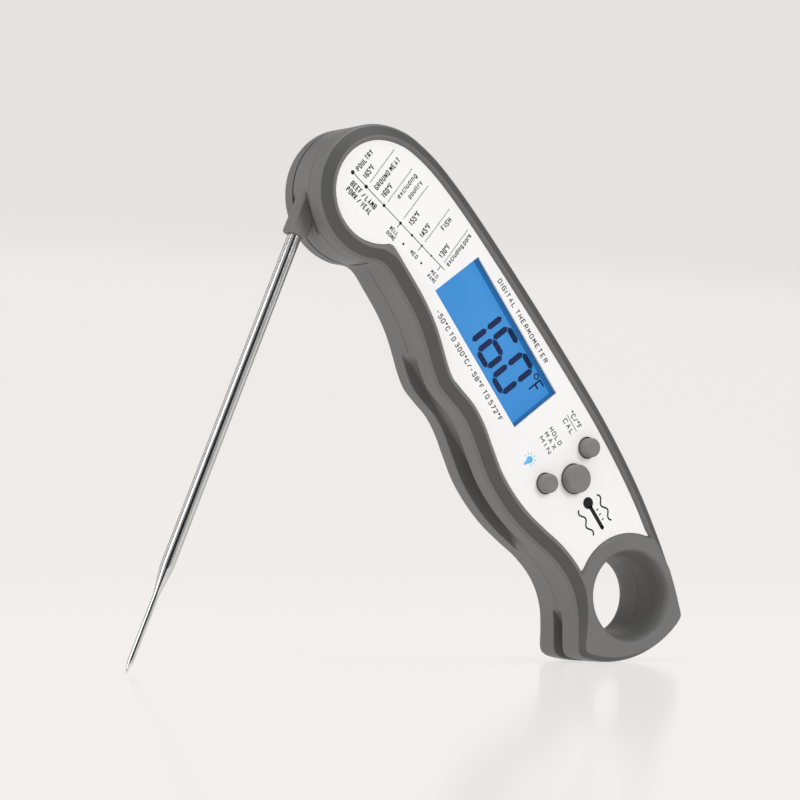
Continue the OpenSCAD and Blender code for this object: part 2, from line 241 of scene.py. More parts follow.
def plate_outline(grow):
    """Outline of the printed face: the inside of the rim, then the band of the ring; grow widens it."""
    edge = inset(PLATE_INSET)
    edge = edge[len(edge) // 3:] + edge[:len(edge) // 3]  # the neck is then one run of the list
    bend = [i for i, p in enumerate(edge) if p.y < 0 and NECK_FROM < p.x < NECK_TO]
    neck = [Vector(p) for p in PLATE_NECK] + arc((0, 0), PLATE_HEAD_R, -26, -52, 6)
    edge = edge[:bend[0]] + neck + edge[bend[-1] + 1:]
    rim = [p for p in edge if p.x < PLATE_END and (p - RING).length > RING_BAND_R]
    start = max(range(len(rim)), key=lambda i: (rim[i] - rim[i - 1]).length)
    rim = rim[start:] + rim[:start]
    first, last = rim[0] - RING, rim[-1] - RING
    a = math.degrees(math.atan2(last.y, last.x)) % 360
    b = math.degrees(math.atan2(first.y, first.x)) % 360
    band = arc(RING, RING_BAND_R, a, b, 24)
    points = rim + band[1:-1]
    result = []
    for i, p in enumerate(points):
        before = (p - points[i - 1]).normalized()
        after = (points[(i + 1) % len(points)] - p).normalized()
        out_a, out_b = Vector((-before.y, before.x)), Vector((-after.y, after.x))
        mitre = (out_a + out_b).normalized()
        result.append(p + mitre * grow / max(0.45, mitre.dot(out_a)))
    return result


# ---------------------------------------------------------------- mesh helpers


def loft(sections, shades=None):
    """Closed solid through loops of equal point counts: sections is a list of (points, z)."""
    bm = bmesh.new()
    place = bm.verts.layers.int.new("place")
    points, z = sections[0]
    verts = [bm.verts.new((p[0], p[1], z if len(p) < 3 else p[2])) for p in points]
    for i, v in enumerate(verts):
        v[place] = i
    edges = [bm.edges.new((verts[i - 1], verts[i])) for i in range(len(verts))]
    first = list(edges)
    for level, (points, z) in enumerate(sections[1:]):
        made = bmesh.ops.extrude_edge_only(bm, edges=edges)["geom"]
        for v in made_of(bmesh.types.BMVert, made):
            p = points[v[place]]
            v.co = (p[0], p[1], z if len(p) < 3 else p[2])
        for f in made_of(bmesh.types.BMFace, made):
            f.material_index = shades[level] if shades else 0
        edges = [e for e in made_of(bmesh.types.BMEdge, made) if e.is_boundary]
    bmesh.ops.edgeloop_fill(bm, edges=first)
    bmesh.ops.edgeloop_fill(bm, edges=edges)
    bmesh.ops.recalc_face_normals(bm, faces=bm.faces)
    return bm


def turned(profile, steps=72, axis=(0, 0, 1), closed=False):
    """Solid of revolution about a line through the origin: profile is a list of (radius, height)."""
    bm = bmesh.new()
    line = [bm.verts.new((r, 0, h)) for r, h in profile]
    pairs = list(zip(line, line[1:])) + ([(line[-1], line[0])] if closed else [])
    edges = [bm.edges.new(pair) for pair in pairs]
    bmesh.ops.spin(bm, geom=line + edges, cent=(0, 0, 0), axis=(0, 0, 1), angle=math.tau, steps=steps,
                   use_merge=True)
    bmesh.ops.remove_doubles(bm, verts=bm.verts, dist=1e-4)
    bmesh.ops.recalc_face_normals(bm, faces=bm.faces)
    if Vector(axis) != Vector((0, 0, 1)):
        bmesh.ops.rotate(bm, cent=(0, 0, 0), matrix=Vector((0, 0, 1)).rotation_difference(Vector(axis)).to_matrix(),
                         verts=bm.verts)
    return bm


def moved(bm, offset):
    """The same mesh, shifted."""
    bmesh.ops.translate(bm, vec=Vector(offset).to_3d(), verts=bm.verts)
    return bm


def block(low, high, bevel=0.0):
    """Box between two corners, its edges rounded by bevel."""
    bm = bmesh.new()
    bmesh.ops.create_cube(bm, size=1)
    size = Vector(high) - Vector(low)
    bmesh.ops.scale(bm, vec=size, verts=bm.verts)
    bmesh.ops.translate(bm, vec=(Vector(high) + Vector(low)) / 2, verts=bm.verts)
    if bevel:
        bmesh.ops.bevel(bm, geom=bm.edges, offset=bevel, affect="EDGES", segments=3, profile=0.5, material=-1)
    return bm


def prism(points, low, high):
    """Upright solid over a flat outline."""
    bm = bmesh.new()
    verts = [bm.verts.new((p[0], p[1], low)) for p in points]
    edges = [bm.edges.new((verts[i - 1], verts[i])) for i in range(len(verts))]
    face = bmesh.ops.edgeloop_fill(bm, edges=edges)["faces"]
    made = bmesh.ops.extrude_face_region(bm, geom=face, use_keep_orig=True)["geom"]
    bmesh.ops.translate(bm, vec=(0, 0, high - low), verts=made_of(bmesh.types.BMVert, made))
    bmesh.ops.recalc_face_normals(bm, faces=bm.faces)
    return bm


def new_object(name, data):
    """Object at the origin that shows a mesh, a light or a camera."""
    obj = bpy.data.objects.new(name, data)
    bpy.context.scene.collection.objects.link(obj)
    return obj


def solid_object(name, bm):
    """Object of a bmesh, which is freed."""
    mesh = bpy.data.meshes.new(name)
    bm.to_mesh(mesh)
    bm.free()
    return new_object(name, mesh)


def combine(base, others, operation):
    """Cut the other solids out of base, or join them to it."""
    body = solid_object("body", base)
    helpers = [solid_object("tool", bm) for bm in others]
    for helper in helpers:
        step = body.modifiers.new("step", "BOOLEAN")
        step.operation = operation
        step.solver = "EXACT"
        step.object = helper
    bpy.context.view_layer.update()
    done = bpy.data.meshes.new_from_object(body.evaluated_get(bpy.context.evaluated_depsgraph_get()))
    result = bmesh.new()
    result.from_mesh(done)
    for obj in helpers + [body]:
        bpy.data.objects.remove(obj)
    bpy.data.meshes.remove(done)
    bmesh.ops.remove_doubles(result, verts=result.verts, dist=1e-4)
    return result


def merged(solids):
    """Several separate solids in one mesh."""
    result = bmesh.new()
    for bm in solids:
        mesh = bpy.data.meshes.new("part")
        bm.to_mesh(mesh)
        bm.free()
        result.from_mesh(mesh)
        bpy.data.meshes.remove(mesh)
    return result


def smooth_faces(bm):
    """Shade every face smooth; sharp edges are marked later by angle."""
    for f in bm.faces:
        f.smooth = True


def made_of(kind, geometry):
    """The vertices, edges or faces among what an operator made."""
    return [g for g in geometry if isinstance(g, kind)]


def piece(name, bm, to_row, body, materials, replaces=(), sharp=32.0, even=True):
    """Turn a mesh in the grip's or the probe's frame into a finished object of the row frame."""
    bmesh.ops.transform(bm, matrix=to_row, verts=bm.verts)
    smooth_faces(bm)
    obj = solid_object(name, bm)
    obj.data.set_sharp_from_angle(angle=math.radians(sharp))
    for m in materials:
        obj.data.materials.append(m)
    if even:
        obj.modifiers.new("even_shading", "WEIGHTED_NORMAL").keep_sharp = True
    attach(obj, body)
    if replaces:
        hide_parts(*replaces)
    return obj


# ---------------------------------------------------------------- materials

# The span of the noise values that a finish spreads over
NOISE_LOW = 0.3
NOISE_HIGH = 0.7


def node(tree, kind, **values):
    """New shader node with the given socket values."""
    made = tree.nodes.new(kind)
    for socket, value in values.items():
        made.inputs[socket].default_value = value
    return made


def shader_of(material):
    """The Principled shader of a finish."""
    return next(n for n in material.node_tree.nodes if n.type == "BSDF_PRINCIPLED")


def blank_material(name, colour, roughness, metallic=0.0):
    """Plain finish that the others start from."""
    m = bpy.data.materials.new(name)
    m.use_nodes = True
    shader = shader_of(m)
    shader.inputs["Base Color"].default_value = (*colour, 1)
    shader.inputs["Roughness"].default_value = roughness
    shader.inputs["Metallic"].default_value = metallic
    return m


def object_noise(tree, scale, detail=3.0, stretch=(1, 1, 1), turn=0.0):
    """Noise on object coordinates, turned about the row's Y axis and stretched."""
    place = node(tree, "ShaderNodeTexCoord")
    mapping = node(tree, "ShaderNodeMapping", Rotation=(0, turn, 0), Scale=stretch)
    noise = node(tree, "ShaderNodeTexNoise", Scale=scale, Detail=detail)
    tree.links.new(place.outputs["Object"], mapping.inputs["Vector"])
    tree.links.new(mapping.outputs["Vector"], noise.inputs["Vector"])
    return noise


def vary_colour(material, noise, dark, light, socket="Base Color", start=NOISE_LOW, end=NOISE_HIGH):
    """Colour that runs from dark to light with the noise, between the values start and end."""
    tree = material.node_tree
    ramp = node(tree, "ShaderNodeValToRGB")
    for stop, at, colour in zip(ramp.color_ramp.elements, (start, end), (dark, light)):
        stop.position = at
        stop.color = (*colour, 1)
    tree.links.new(noise.outputs["Fac"], ramp.inputs["Fac"])
    tree.links.new(ramp.outputs["Color"], shader_of(material).inputs[socket])


def vary_roughness(material, noise, low, high):
    """Roughness that runs from low to high with the noise."""
    tree = material.node_tree
    limits = {"From Min": NOISE_LOW, "From Max": NOISE_HIGH, "To Min": low, "To Max": high}
    spread = node(tree, "ShaderNodeMapRange", **limits)
    tree.links.new(noise.outputs["Fac"], spread.inputs["Value"])
    tree.links.new(spread.outputs["Result"], shader_of(material).inputs["Roughness"])


def add_bump(material, noise, strength, distance):
    """Relief from the noise; distance is its height in metres."""
    tree = material.node_tree
    bump = node(tree, "ShaderNodeBump", Strength=strength, Distance=distance)
    tree.links.new(noise.outputs["Fac"], bump.inputs["Height"])
    tree.links.new(bump.outputs["Normal"], shader_of(material).inputs["Normal"])


def shade(colour, factor):
    """Lighter or darker colour, kept within white."""
    return tuple(min(1.0, c * factor) for c in colour)


def moulded(name, colour, roughness=0.5, grain=0.25, spread=0.06):
    """Spark-textured plastic: fine grain in the surface, slight unevenness in colour and gloss."""
    m = blank_material(name, colour, roughness)
    shader_of(m).inputs["Specular IOR Level"].default_value = 0.45
    cloud = object_noise(m.node_tree, 90.0, 4.0)
    fine = object_noise(m.node_tree, 3800.0, 2.0)
    vary_colour(m, cloud, shade(colour, 1 - spread), shade(colour, 1 + spread))
    vary_roughness(m, cloud, roughness - 0.05, roughness + 0.06)
    add_bump(m, fine, grain, 0.00006)
    return m


def polished_steel(name, colour, roughness, along):
    """Drawn stainless steel: hairline marks along the tube, which leans by the angle along."""
    m = blank_material(name, colour, roughness, 1.0)
    lines = object_noise(m.node_tree, 900.0, 2.0, stretch=(4.0, 4.0, 0.03), turn=along)
    cloud = object_noise(m.node_tree, 160.0, 3.0)
    vary_colour(m, cloud, shade(colour, 0.93), shade(colour, 1.05))
    vary_roughness(m, lines, roughness * 0.75, roughness * 1.5)
    add_bump(m, lines, 0.12, 0.00002)
    return m


def metal(name, colour, roughness):
    """Plated or bare metal with a cloudy surface."""
    m = blank_material(name, colour, roughness, 1.0)
    cloud = object_noise(m.node_tree, 500.0, 4.0)
    vary_colour(m, cloud, shade(colour, 0.88), shade(colour, 1.08))
    vary_roughness(m, cloud, roughness * 0.7, roughness * 1.4)
    return m


def lit(name, dark, light, strength, base):
    """Back-lit plastic: light spreads unevenly over it."""
    m = blank_material(name, base, 0.35)
    shader_of(m).inputs["Specular IOR Level"].default_value = 0.1
    vary_colour(m, object_noise(m.node_tree, 28.0, 1.0), dark, light, "Emission Color", 0.25, 0.75)
    shader_of(m).inputs["Emission Strength"].default_value = strength
    return m


def clear(name, tint, alpha):
    """Clear moulded plastic seen through: a thin gloss with very little tint."""
    m = blank_material(name, tint, 0.06)
    shader_of(m).inputs["Alpha"].default_value = alpha
    shader_of(m).inputs["Specular IOR Level"].default_value = 0.3
    smear = object_noise(m.node_tree, 220.0, 3.0)
    vary_roughness(m, smear, 0.04, 0.1)
    return m


def printed(name, colour):
    """Screen print: dense ink with a slightly broken surface."""
    m = blank_material(name, colour, 0.45)
    shader_of(m).inputs["Specular IOR Level"].default_value = 0.12
    speck = object_noise(m.node_tree, 2600.0, 3.0)
    vary_colour(m, speck, colour, shade(colour, 1.6))
    return m


MATERIALS = {}


def finishes():
    """Every finish of the object, made once."""
    if MATERIALS:
        return MATERIALS
    looks = bpy.context.scene.thermometer_colours
    grey = tuple(looks.grip)
    glow = looks.display_light
    probe_lean = OPEN_ANGLE - GRIP_SLOPE - math.pi / 2
    MATERIALS.update({
        "grip": moulded("grip_plastic", grey, 0.5),
        # The sloped rim: the grip plastic made darker, painted shade for the little light that falls on the rim.
        "rim": moulded("rim_plastic_painted_shade", shade(grey, looks.rim_painted_shade), 0.52),
        "hub": moulded("hub_plastic", shade(grey, 1.04), 0.46),
        "button": moulded("button_plastic", shade(grey, 1.28), 0.5, 0.15),
        "plate": moulded("printed_face", tuple(looks.plate), 0.42, 0.03, 0.008),
        "ink": printed("black_ink", (0.012, 0.012, 0.014)),
        "blue_ink": printed("blue_ink", (0.1, 0.42, 0.85)),
        "digits": printed("display_segments", (0.006, 0.004, 0.045)),
        "display": lit("display_blue", (0.03, 0.225, 0.6), (0.065, 0.31, 0.7), glow, (0.01, 0.04, 0.1)),
        # The window's surround: a darker glowing copy of the display blue, painted shade for the dark band along the
        # window's edge.
        "display_wall_painted_shade": lit("display_wall_painted_shade", (0.008, 0.1, 0.3), (0.014, 0.13, 0.36), glow, (0.005, 0.02, 0.06)),
        "lens": clear("clear_window", (0.1, 0.3, 0.6), 0.04),
        "steel": polished_steel("polished_steel", (0.72, 0.72, 0.72), 0.1, probe_lean),
        "screw": metal("zinc_plated_steel", (0.42, 0.42, 0.41), 0.32),
        "spring": metal("nickel_plated_strip", (0.6, 0.57, 0.5), 0.25),
        "cell": metal("brushed_cell_can", (0.62, 0.62, 0.6), 0.22),
        "magnet": metal("nickel_plated_magnet", (0.58, 0.58, 0.6), 0.12),
        "rubber": moulded("black_rubber", (0.018, 0.018, 0.018), 0.75),
        "black": moulded("black_moulding", (0.02, 0.02, 0.022), 0.5),
        "board": moulded("green_solder_mask", (0.015, 0.13, 0.05), 0.3, 0.05, 0.2),
        "washer": moulded("white_nylon", (0.75, 0.74, 0.7), 0.5),
        "lead": moulded("red_insulation", (0.45, 0.03, 0.03), 0.45),
        "bead": moulded("sensor_epoxy", (0.05, 0.05, 0.08), 0.4),
        "tube_glass": clear("reed_glass", (0.6, 0.85, 0.75), 0.45),
        "light_panel": lit("light_panel", (0.1, 0.3, 0.6), (0.15, 0.4, 0.8), glow, (0.05, 0.1, 0.2)),
    })
    return MATERIALS


# ---------------------------------------------------------------- shells


def hub_room():
    """Space between the head discs for the hub and for the swing of the sleeve."""
    drum = turned([(0, -ROOM_HALF), (ROOM_R, -ROOM_HALF), (ROOM_R, ROOM_HALF), (0, ROOM_HALF)], ROUND)
    turns = [math.radians(a) for a in (-36, -75, -110, -150, 170, 140, 108)]
    corners = [(0, 0)] + [(SWING_R * math.cos(a), SWING_R * math.sin(a)) for a in turns]
    return [drum, prism(corners, -ROOM_HALF, ROOM_HALF)]


def ring_cutter():
    """Ring hole: straight in the middle, rounded out to a wide mouth at the front and a small one at the back."""
    front, back = FACE_TOP, BACK
    profile = [
        (0, front + 1), (RING_MOUTH_R + 1.6, front + 1), (RING_MOUTH_R + 0.5, front + 0.06),
        (RING_MOUTH_R - 0.05, front - 0.12), (RING_MOUTH_R - 0.5, front - 0.6), (RING_MOUTH_R - 0.85, front - 1.5),
        (11.0, front - 2.6), (10.62, front - 4.0), (10.3, front - 6.0), (10.08, front - 8.5), (RING_HOLE_R, 0.2),
        (RING_SEAM_R, 0.07), (RING_SEAM_R, -0.07), (RING_HOLE_R, -0.2),
        (RING_HOLE_R, back + 4), (10.1, back + 2.4), (10.35, back + 1.2),
        (10.8, back + 0.4), (11.4, back + 0.02), (12.4, back - 0.6), (12.4, back - 1), (0, back - 1),
    ]
    return moved(turned(profile, ROUND), RING)


def smooth_step(t):
    """Even rise from 0 to 1."""
    t = max(0.0, min(1.0, t))
    return t * t * (3 - 2 * t)


def groove_section(x, half, floor_y):
    """Slot with a flat floor and slightly rolled lips, at x along the grip."""
    lip_y = min(edge_at(x), floor_y - 0.06)
    deep = floor_y - lip_y
    low, high = min(0.45, 0.3 * deep), min(0.3, 0.3 * deep)
    side = [
        (half - low, floor_y), (half - 0.3 * low, floor_y - 0.3 * low), (half, floor_y - low), (half, lip_y + high),
        (half + 0.2 * high, lip_y + 0.45 * high), (half + 0.7 * high, lip_y + 0.12 * high),
        (half + 0.45, lip_y - 0.03), (half + 0.5, lip_y - 4),
    ]
    return [(x, y, z) for z, y in side] + [(x, y, -z) for z, y in reversed(side)]


# Stretches of the slot: start, end, half width, floor, ramp length at each end
SLOTS = ((39.4, 102.4, 3.2, -9.95, 5.5), (119.3, 141.0, 1.95, -10.7, 3.0))
SLOT_STEP = 0.7
# A stretch that passes the end of the grip has no ramp there
OUTLINE_END = 140
OPEN_END = 99


def groove_cutters():
    """The slot for the folded probe: one stretch along the fingers, one through the toe."""
    cutters = []
    for first, last, width, deep, ramp in SLOTS:
        count = int((last - first) / SLOT_STEP)
        sections = []
        for i in range(count + 1):
            x = first + (last - first) * i / count
            run_out = OPEN_END if last > OUTLINE_END else last - x
            sink = min(smooth_step((x - first) / ramp), smooth_step(run_out / ramp))
            start_y = edge_at(x) - 0.05
            floor_y = start_y + (deep - start_y) * sink
            half = width * (0.35 + 0.65 * math.sqrt(min(1.0, min(x - first, run_out) / 1.8)))
            sections.append((groove_section(x, half, floor_y), 0))
        cutters.append(loft(sections))
    return cutters


def cavity(low, high):
    """Space for the electronics between the shells."""
    points = [p for p in inset(WALL) if CAVITY_FROM < p.x < CAVITY_TO]
    points = [Vector((p.x, max(p.y, CAVITY_FLOOR))) for p in points]
    top = sorted((p for p in points if p.y > 0), key=lambda p: p.x)
    bottom = sorted((p for p in points if p.y <= 0), key=lambda p: -p.x)
    return prism(top + bottom, low, high)


def screen_hole(low, high, gap=0.0):
    """Cutter for the opening of the window."""
    return block((WINDOW_LOW.x - gap, WINDOW_LOW.y - gap, low), (WINDOW_HIGH.x + gap, WINDOW_HIGH.y + gap, high))


def button_holes(low, high):
    """Cutters for the three button openings."""
    holes = []
    for name, (_, radius) in BUTTONS.items():
        hole = turned([(0, low), (radius, low), (radius, high), (0, high)], SMALL_ROUND)
        holes.append(moved(hole, button_place(name)[0]))
    return holes


# Radius of each cap and of its opening
BUTTONS = {"unit_button": (2.5, 2.85), "hold_button": (3.7, 4.0), "light_button": (2.5, 2.82)}


def front_shell():
    """Front half of the grip: straight wall, sloped rim, narrow inner lip round the printed face."""
    top = FACE_TOP
    crest = bpy.context.scene.thermometer_sizes.rim_width / MM
    steps = [
        (0.02, 0.18), (0.16, 0.02), (0.4, 0.0), (top - 3.0, 0.0), (top - 2.6, 0.07), (top - 2.25, 0.28),
        (top - 1.95, 0.62), (top - 0.55, 2.55), (top - 0.28, 2.86), (top - 0.1, 3.05), (top, crest),
    ]
    # The levels of the sloped rim take the second finish, the darker copy of the grip: painted shade.
    shades = [0] * 6 + [1] * 3 + [0] * 2
    blank = loft([(inset(d), z) for z, d in steps], shades)
    lip = [
        (PLATE_LOW.z, 0.0), (PLATE_TOP - 0.15, 0.0), (PLATE_TOP - 0.02, 0.04), (top - 0.12, 0.6),
        (top - 0.03, 0.74), (top + 0.4, 1.1),
    ]
    recess = loft([(plate_outline(d), z) for z, d in lip])
    cutters = [recess, ring_cutter(), cavity(-1, CEILING), screen_hole(CEILING - 1, top)]
    cutters += hub_room() + groove_cutters() + button_holes(0, top)
    shell = combine(blank, cutters, "DIFFERENCE")
    mats = finishes()
    return piece("front_shell_moulding", shell, GRIP, "handle", [mats["grip"], mats["rim"]],
                 ["front_shell"])


def back_shell():
    """Back half of the grip, with the battery hole and the screw recesses."""
    low = BACK
    steps = [
        (low, 3.4), (low + 0.06, 3.0), (low + 0.25, 2.4), (low + 0.7, 1.5), (low + 1.3, 0.72), (low + 1.9, 0.24),
        (low + 2.6, 0.0), (-0.4, 0.0), (-0.16, 0.02), (-0.02, 0.18),
    ]
    blank = loft([(inset(d), z) for z, d in steps])
    centre = cover_centre()
    hole_r = (COVER_HIGH.x - COVER_LOW.x) / 2 + 0.15
    well = turned([(0, low - 1), (hole_r + 0.5, low - 1), (hole_r + 0.35, low - 0.01), (hole_r, low + 0.3),
                   (hole_r, low + 3), (0, low + 3)], RIM_ROUND)
    cutters = [ring_cutter(), cavity(low + 2, 1), moved(well, centre)]
    cutters += hub_room() + groove_cutters()
    for c in screw_centres():
        recess = [(0, low - 1), (SCREW_R + 0.5, low - 1), (SCREW_R + 0.1, low + 0.15), (SCREW_R, low + 0.4),
                  (SCREW_R, low + 3), (0, low + 3)]
        cutters.append(moved(turned(recess, 40), c))
    shell = combine(blank, cutters, "DIFFERENCE")
    return piece("back_shell_moulding", shell, GRIP, "handle", [finishes()["grip"]], ["back_shell"])


def cover_centre():
    """Centre of the battery cover, in the grip's frame."""
    low, high = local_box("cover_o_ring", FROM_ROW)
    return Vector(((low.x + high.x) / 2, (low.y + high.y) / 2))


SCREW_REACH = 5


def screw_centres():
    """Centres of the shell screws: the mean place of each cluster of points in their node."""
    bm = bmesh.new()
    bm.from_mesh(frame["nodes"]["shell_screws"].data)
    bmesh.ops.remove_doubles(bm, verts=bm.verts, dist=1e-6)
    bmesh.ops.transform(bm, matrix=FROM_ROW, verts=bm.verts)
    centres = []
    for v in bm.verts:
        near = next((c for c in centres if (c["sum"] / c["n"] - v.co.xy).length < SCREW_REACH), None)
        if near is None:
            centres.append({"sum": v.co.xy.copy(), "n": 1})
        else:
            near["sum"] += v.co.xy
            near["n"] += 1
    bm.free()
    return [c["sum"] / c["n"] for c in centres]


# ---------------------------------------------------------------- face, print and display

INK_DEPTH = 0.012
INK_LOW = PLATE_TOP - INK_DEPTH
INK_HIGH = PLATE_TOP + INK_DEPTH


def face_plate():
    """Printed sheet: rolled edge, openings for the window and the buttons."""
    levels = [(PLATE_LOW.z, -0.1), (PLATE_TOP - 0.12, -0.1), (PLATE_TOP - 0.03, -0.14), (PLATE_TOP, -0.24)]
    sheet = loft([(plate_outline(d), z) for z, d in levels])
    low, high = PLATE_LOW.z - 1, PLATE_TOP + 1
    cutters = [screen_hole(low, high, 0.02)] + button_holes(low, high)
    return piece("printed_face_plate", combine(sheet, cutters, "DIFFERENCE"), GRIP, "handle",
                 [finishes()["plate"]], ["face_plate"])


# Strokes of each letter: pairs of x and y digits on a grid 4 wide and 8 high; b is 2 below the line.
# A stroke that starts with ~ has rounded corners.
STROKES = {
    "A": "002840 1333", "B": "0008 ~08484404 ~04444000", "C": "~464808004042", "D": "0008 ~08484000",
    "E": "48080040 0434", "F": "480800 0434", "G": "~4648080040441424", "H": "0008 4048 0444", "I": "0008",
    "K": "0008 4803 1440", "L": "080040", "M": "0008 0823 2348 4840", "N": "0008 0840 4048", "O": "~0008484000",
    "P": "0008 ~08484404", "R": "0008 ~08484404 2440", "S": "~4648080444400002", "T": "0848 2820",
    "U": "~08004048", "V": "082048", "W": "0810 1026 2630 3048", "X": "0048 0840", "Y": "0824 4824 2420",
    "0": "~0008484000", "1": "1628 2820", "2": "~0608484500 0040", "3": "~0708484414 ~1444400001",
    "4": "380242 3038", "5": "480805 ~0545400002", "6": "~46480800404404", "7": "084810",
    "8": "~0008484000 0444", "e": "~03434606004041", "x": "0046 0640", "c": "~454606004041",
    "l": "0008", "u": "~06004046", "d": "4048 ~46060040", "i": "0006 0708", "n": "0006 ~064640",
    "g": "~46060040 ~464b0b", "p": "060b ~06464000", "o": "~0006464000", "t": "~181030 0636", "r": "0006 ~064635",
    "k": "0008 4602 1340", "y": "0620 461b", "/": "0048", "-": "0434", "\u00b0": "~0608282606", " ": "",
}
LETTER_WIDTH = {"I": 0, "l": 0, "i": 0, "\u00b0": 2, "r": 3, "t": 3, " ": -0.8, "1": 3}
LETTER_GAP = 3.4


def stroke_points(code):
    """Grid points of one stroke and whether its corners are rounded."""
    rounded = code.startswith("~")
    code = code.lstrip("~")
    points = [Vector((int(x), -2 if y == "b" else int(y))) for x, y in zip(code[::2], code[1::2])]
    return points, rounded


def round_corners(points, radius, loop):
    """Replace each corner by a short curve."""
    if loop:
        points = points[:-1]
        middle = (points[0] + points[-1]) / 2
        points = [middle] + points + [middle]
    result = [points[0]]
    for before, corner, after in zip(points, points[1:], points[2:]):
        a = corner + (before - corner) * min(0.5, radius / max(1e-6, (before - corner).length))
        b = corner + (after - corner) * min(0.5, radius / max(1e-6, (after - corner).length))
        for i in range(5):
            t = i / 4
            result.append((1 - t) ** 2 * a + 2 * t * (1 - t) * corner + t * t * b)
    result.append(points[-1])
    return [p for i, p in enumerate(result) if i == 0 or (p - result[i - 1]).length > 1e-4]


def ribbon(points, width, loop=False):
    """Flat strip of constant width along a line, in one solid, or in two for a closed line."""
    left, right = [], []
    last = len(points) - 1
    for i, p in enumerate(points):
        before = points[i - 1] if i else (points[-2] if loop else None)
        after = points[i + 1] if i < last else (points[1] if loop else None)
        a = (p - before).normalized() if before else (after - p).normalized()
        b = (after - p).normalized() if after else a
        mean = (a + b).normalized() if (a + b).length > 0.2 else a
        normal = Vector((-mean.y, mean.x))
        reach = width / 2 / max(0.5, normal.dot(Vector((-a.y, a.x))))
        left.append(p + normal * reach)
        right.append(p - normal * reach)
    cuts = [(0, last // 2), (last // 2, last)] if loop else [(0, last)]
    return [prism(left[a:b + 1] + right[a:b + 1][::-1], INK_LOW, INK_HIGH) for a, b in cuts]


def lettering(content, start, length, height, angle, weight):
    """Line of stroke letters fitted to a length and a capital height; weight is stroke to height."""
    line = weight * height
    widths = [LETTER_WIDTH.get(c, 4) for c in content]
    unit_x = (length - line) / (sum(widths) + LETTER_GAP * (len(content) - 1))
    unit_y = (height - line) / 8
    turn = Matrix.Rotation(math.radians(angle), 2)
    at = 0.0
    solids = []
    for character, width in zip(content, widths):
        for code in STROKES[character].split():
            points, rounded = stroke_points(code)
            points = [Vector(((at + p.x) * unit_x + line / 2, p.y * unit_y + line / 2)) for p in points]
            loop = rounded and (points[0] - points[-1]).length < 1e-6
            if rounded:
                points = round_corners(points, 2.2 * unit_y, loop)
            points = [turn @ p + Vector(start) for p in points]
            solids += ribbon(points, line, loop)
        at += width + LETTER_GAP
    return merged(solids)


def bar(start, end, width, low=INK_LOW, high=INK_HIGH):
    """Straight line, printed on the face unless other heights are given."""
    a, b = Vector(start), Vector(end)
    side = Vector((a.y - b.y, b.x - a.x)).normalized() * width / 2
    return prism([a - side, b - side, b + side, a + side], low, high)


def dot(centre, radius, sides=20):
    """Printed round dot."""
    points = arc(centre, radius, 0, 360 * (1 - 1 / sides), sides - 1)
    return prism(points, INK_LOW, INK_HIGH)


def dotted(start, end):
    """Row of small printed dots."""
    a, b = Vector(start), Vector(end)
    count = int((b - a).length / DOT_GAP)
    return [dot(a.lerp(b, i / count), DOT_R, 8) for i in range(count + 1)]


# What the print says: text, baseline start, length, capital height
UPWARDS = [
    ("POULTRY", (-7.6, -2.6), 6.6, 1.5), ("165°F", (-4.9, -2.0), 4.2, 1.6), ("GROUND MEAT", (-0.9, -0.8), 10.5, 1.5),
    ("160°F", (1.8, -0.2), 4.2, 1.6), ("excluding", (4.3, 3.5), 8.0, 1.35), ("poultry", (6.0, 6.2), 5.6, 1.35),
    ("155°F", (11.8, 2.6), 4.2, 1.6), ("145°F", (16.0, 3.5), 4.2, 1.6), ("FISH", (17.9, 10.0), 3.7, 1.5),
    ("130°F", (23.3, 5.4), 4.2, 1.6), ("excluding pork", (26.0, 6.0), 10.7, 1.3),
]
ALONG = [
    ("BEEF / LAMB", (-6.5, -6.7), 9.3, 1.6), ("PORK / VEAL", (-6.0, -8.6), 9.2, 1.6), ("WELL", (8.6, -3.3), 2.9, 1.15),
    ("DONE", (9.0, -4.8), 3.1, 1.15), ("MED", (16.8, -1.7), 2.5, 1.15), ("MED", (24.1, 0.6), 2.5, 1.05),
    ("RARE", (24.4, -0.8), 2.9, 1.05),
]
LEVEL = [
    ("DIGITAL THERMOMETER", (36.8, 16.2), 25.3, 1.45), ("-50°C TO 300°C/-58°F TO 572°F", (33.1, -3.9), 33.4, 1.5),
    ("°C/°F", (76.7, 15.1), 5.1, 1.55), ("CAL", (77.1, 12.4), 4.5, 1.45), ("HOLD", (76.5, 7.7), 5.3, 1.35),
    ("MAX", (76.7, 5.7), 5.1, 1.35), ("MIN", (76.7, 3.8), 5.1, 1.35),
]
DOTTED = [
    ((-3.8, -1.2), (-6.7, 9.0)), ((2.9, 0.4), (0.0, 10.8)), ((8.8, 1.9), (6.0, 12.3)),
    ((17.0, 3.9), (14.2, 14.4)), ((24.3, 5.7), (21.4, 16.1)),
]
SCALE_LINE = ((-8.5, -4.2), (25.9, 4.5))
SCALE_DOTS = [(-8.5, -4.2, 0.55), (-3.5, -2.95, 0.5), (3.1, -1.26, 0.45), (9.3, 0.3, 0.4), (13.6, 1.4, 0.35),
              (17.3, 2.35, 0.3), (20.9, 3.25, 0.28), (14.0, -2.0, 0.33), (20.8, -0.3, 0.3)]
TICKS = [((9.3, 0.3), (9.7, -1.2)), ((17.3, 2.35), (17.7, 0.8)), ((24.5, 4.1), (24.9, 2.7))]
CHART_SLOPE = 14.0
LEVEL_WEIGHT = 0.165
DOT_GAP = 0.52
DOT_R = 0.17
LINE_WIDTH = 0.2
WAVE_AWAY = 3.5
WAVE_SWING = 0.55


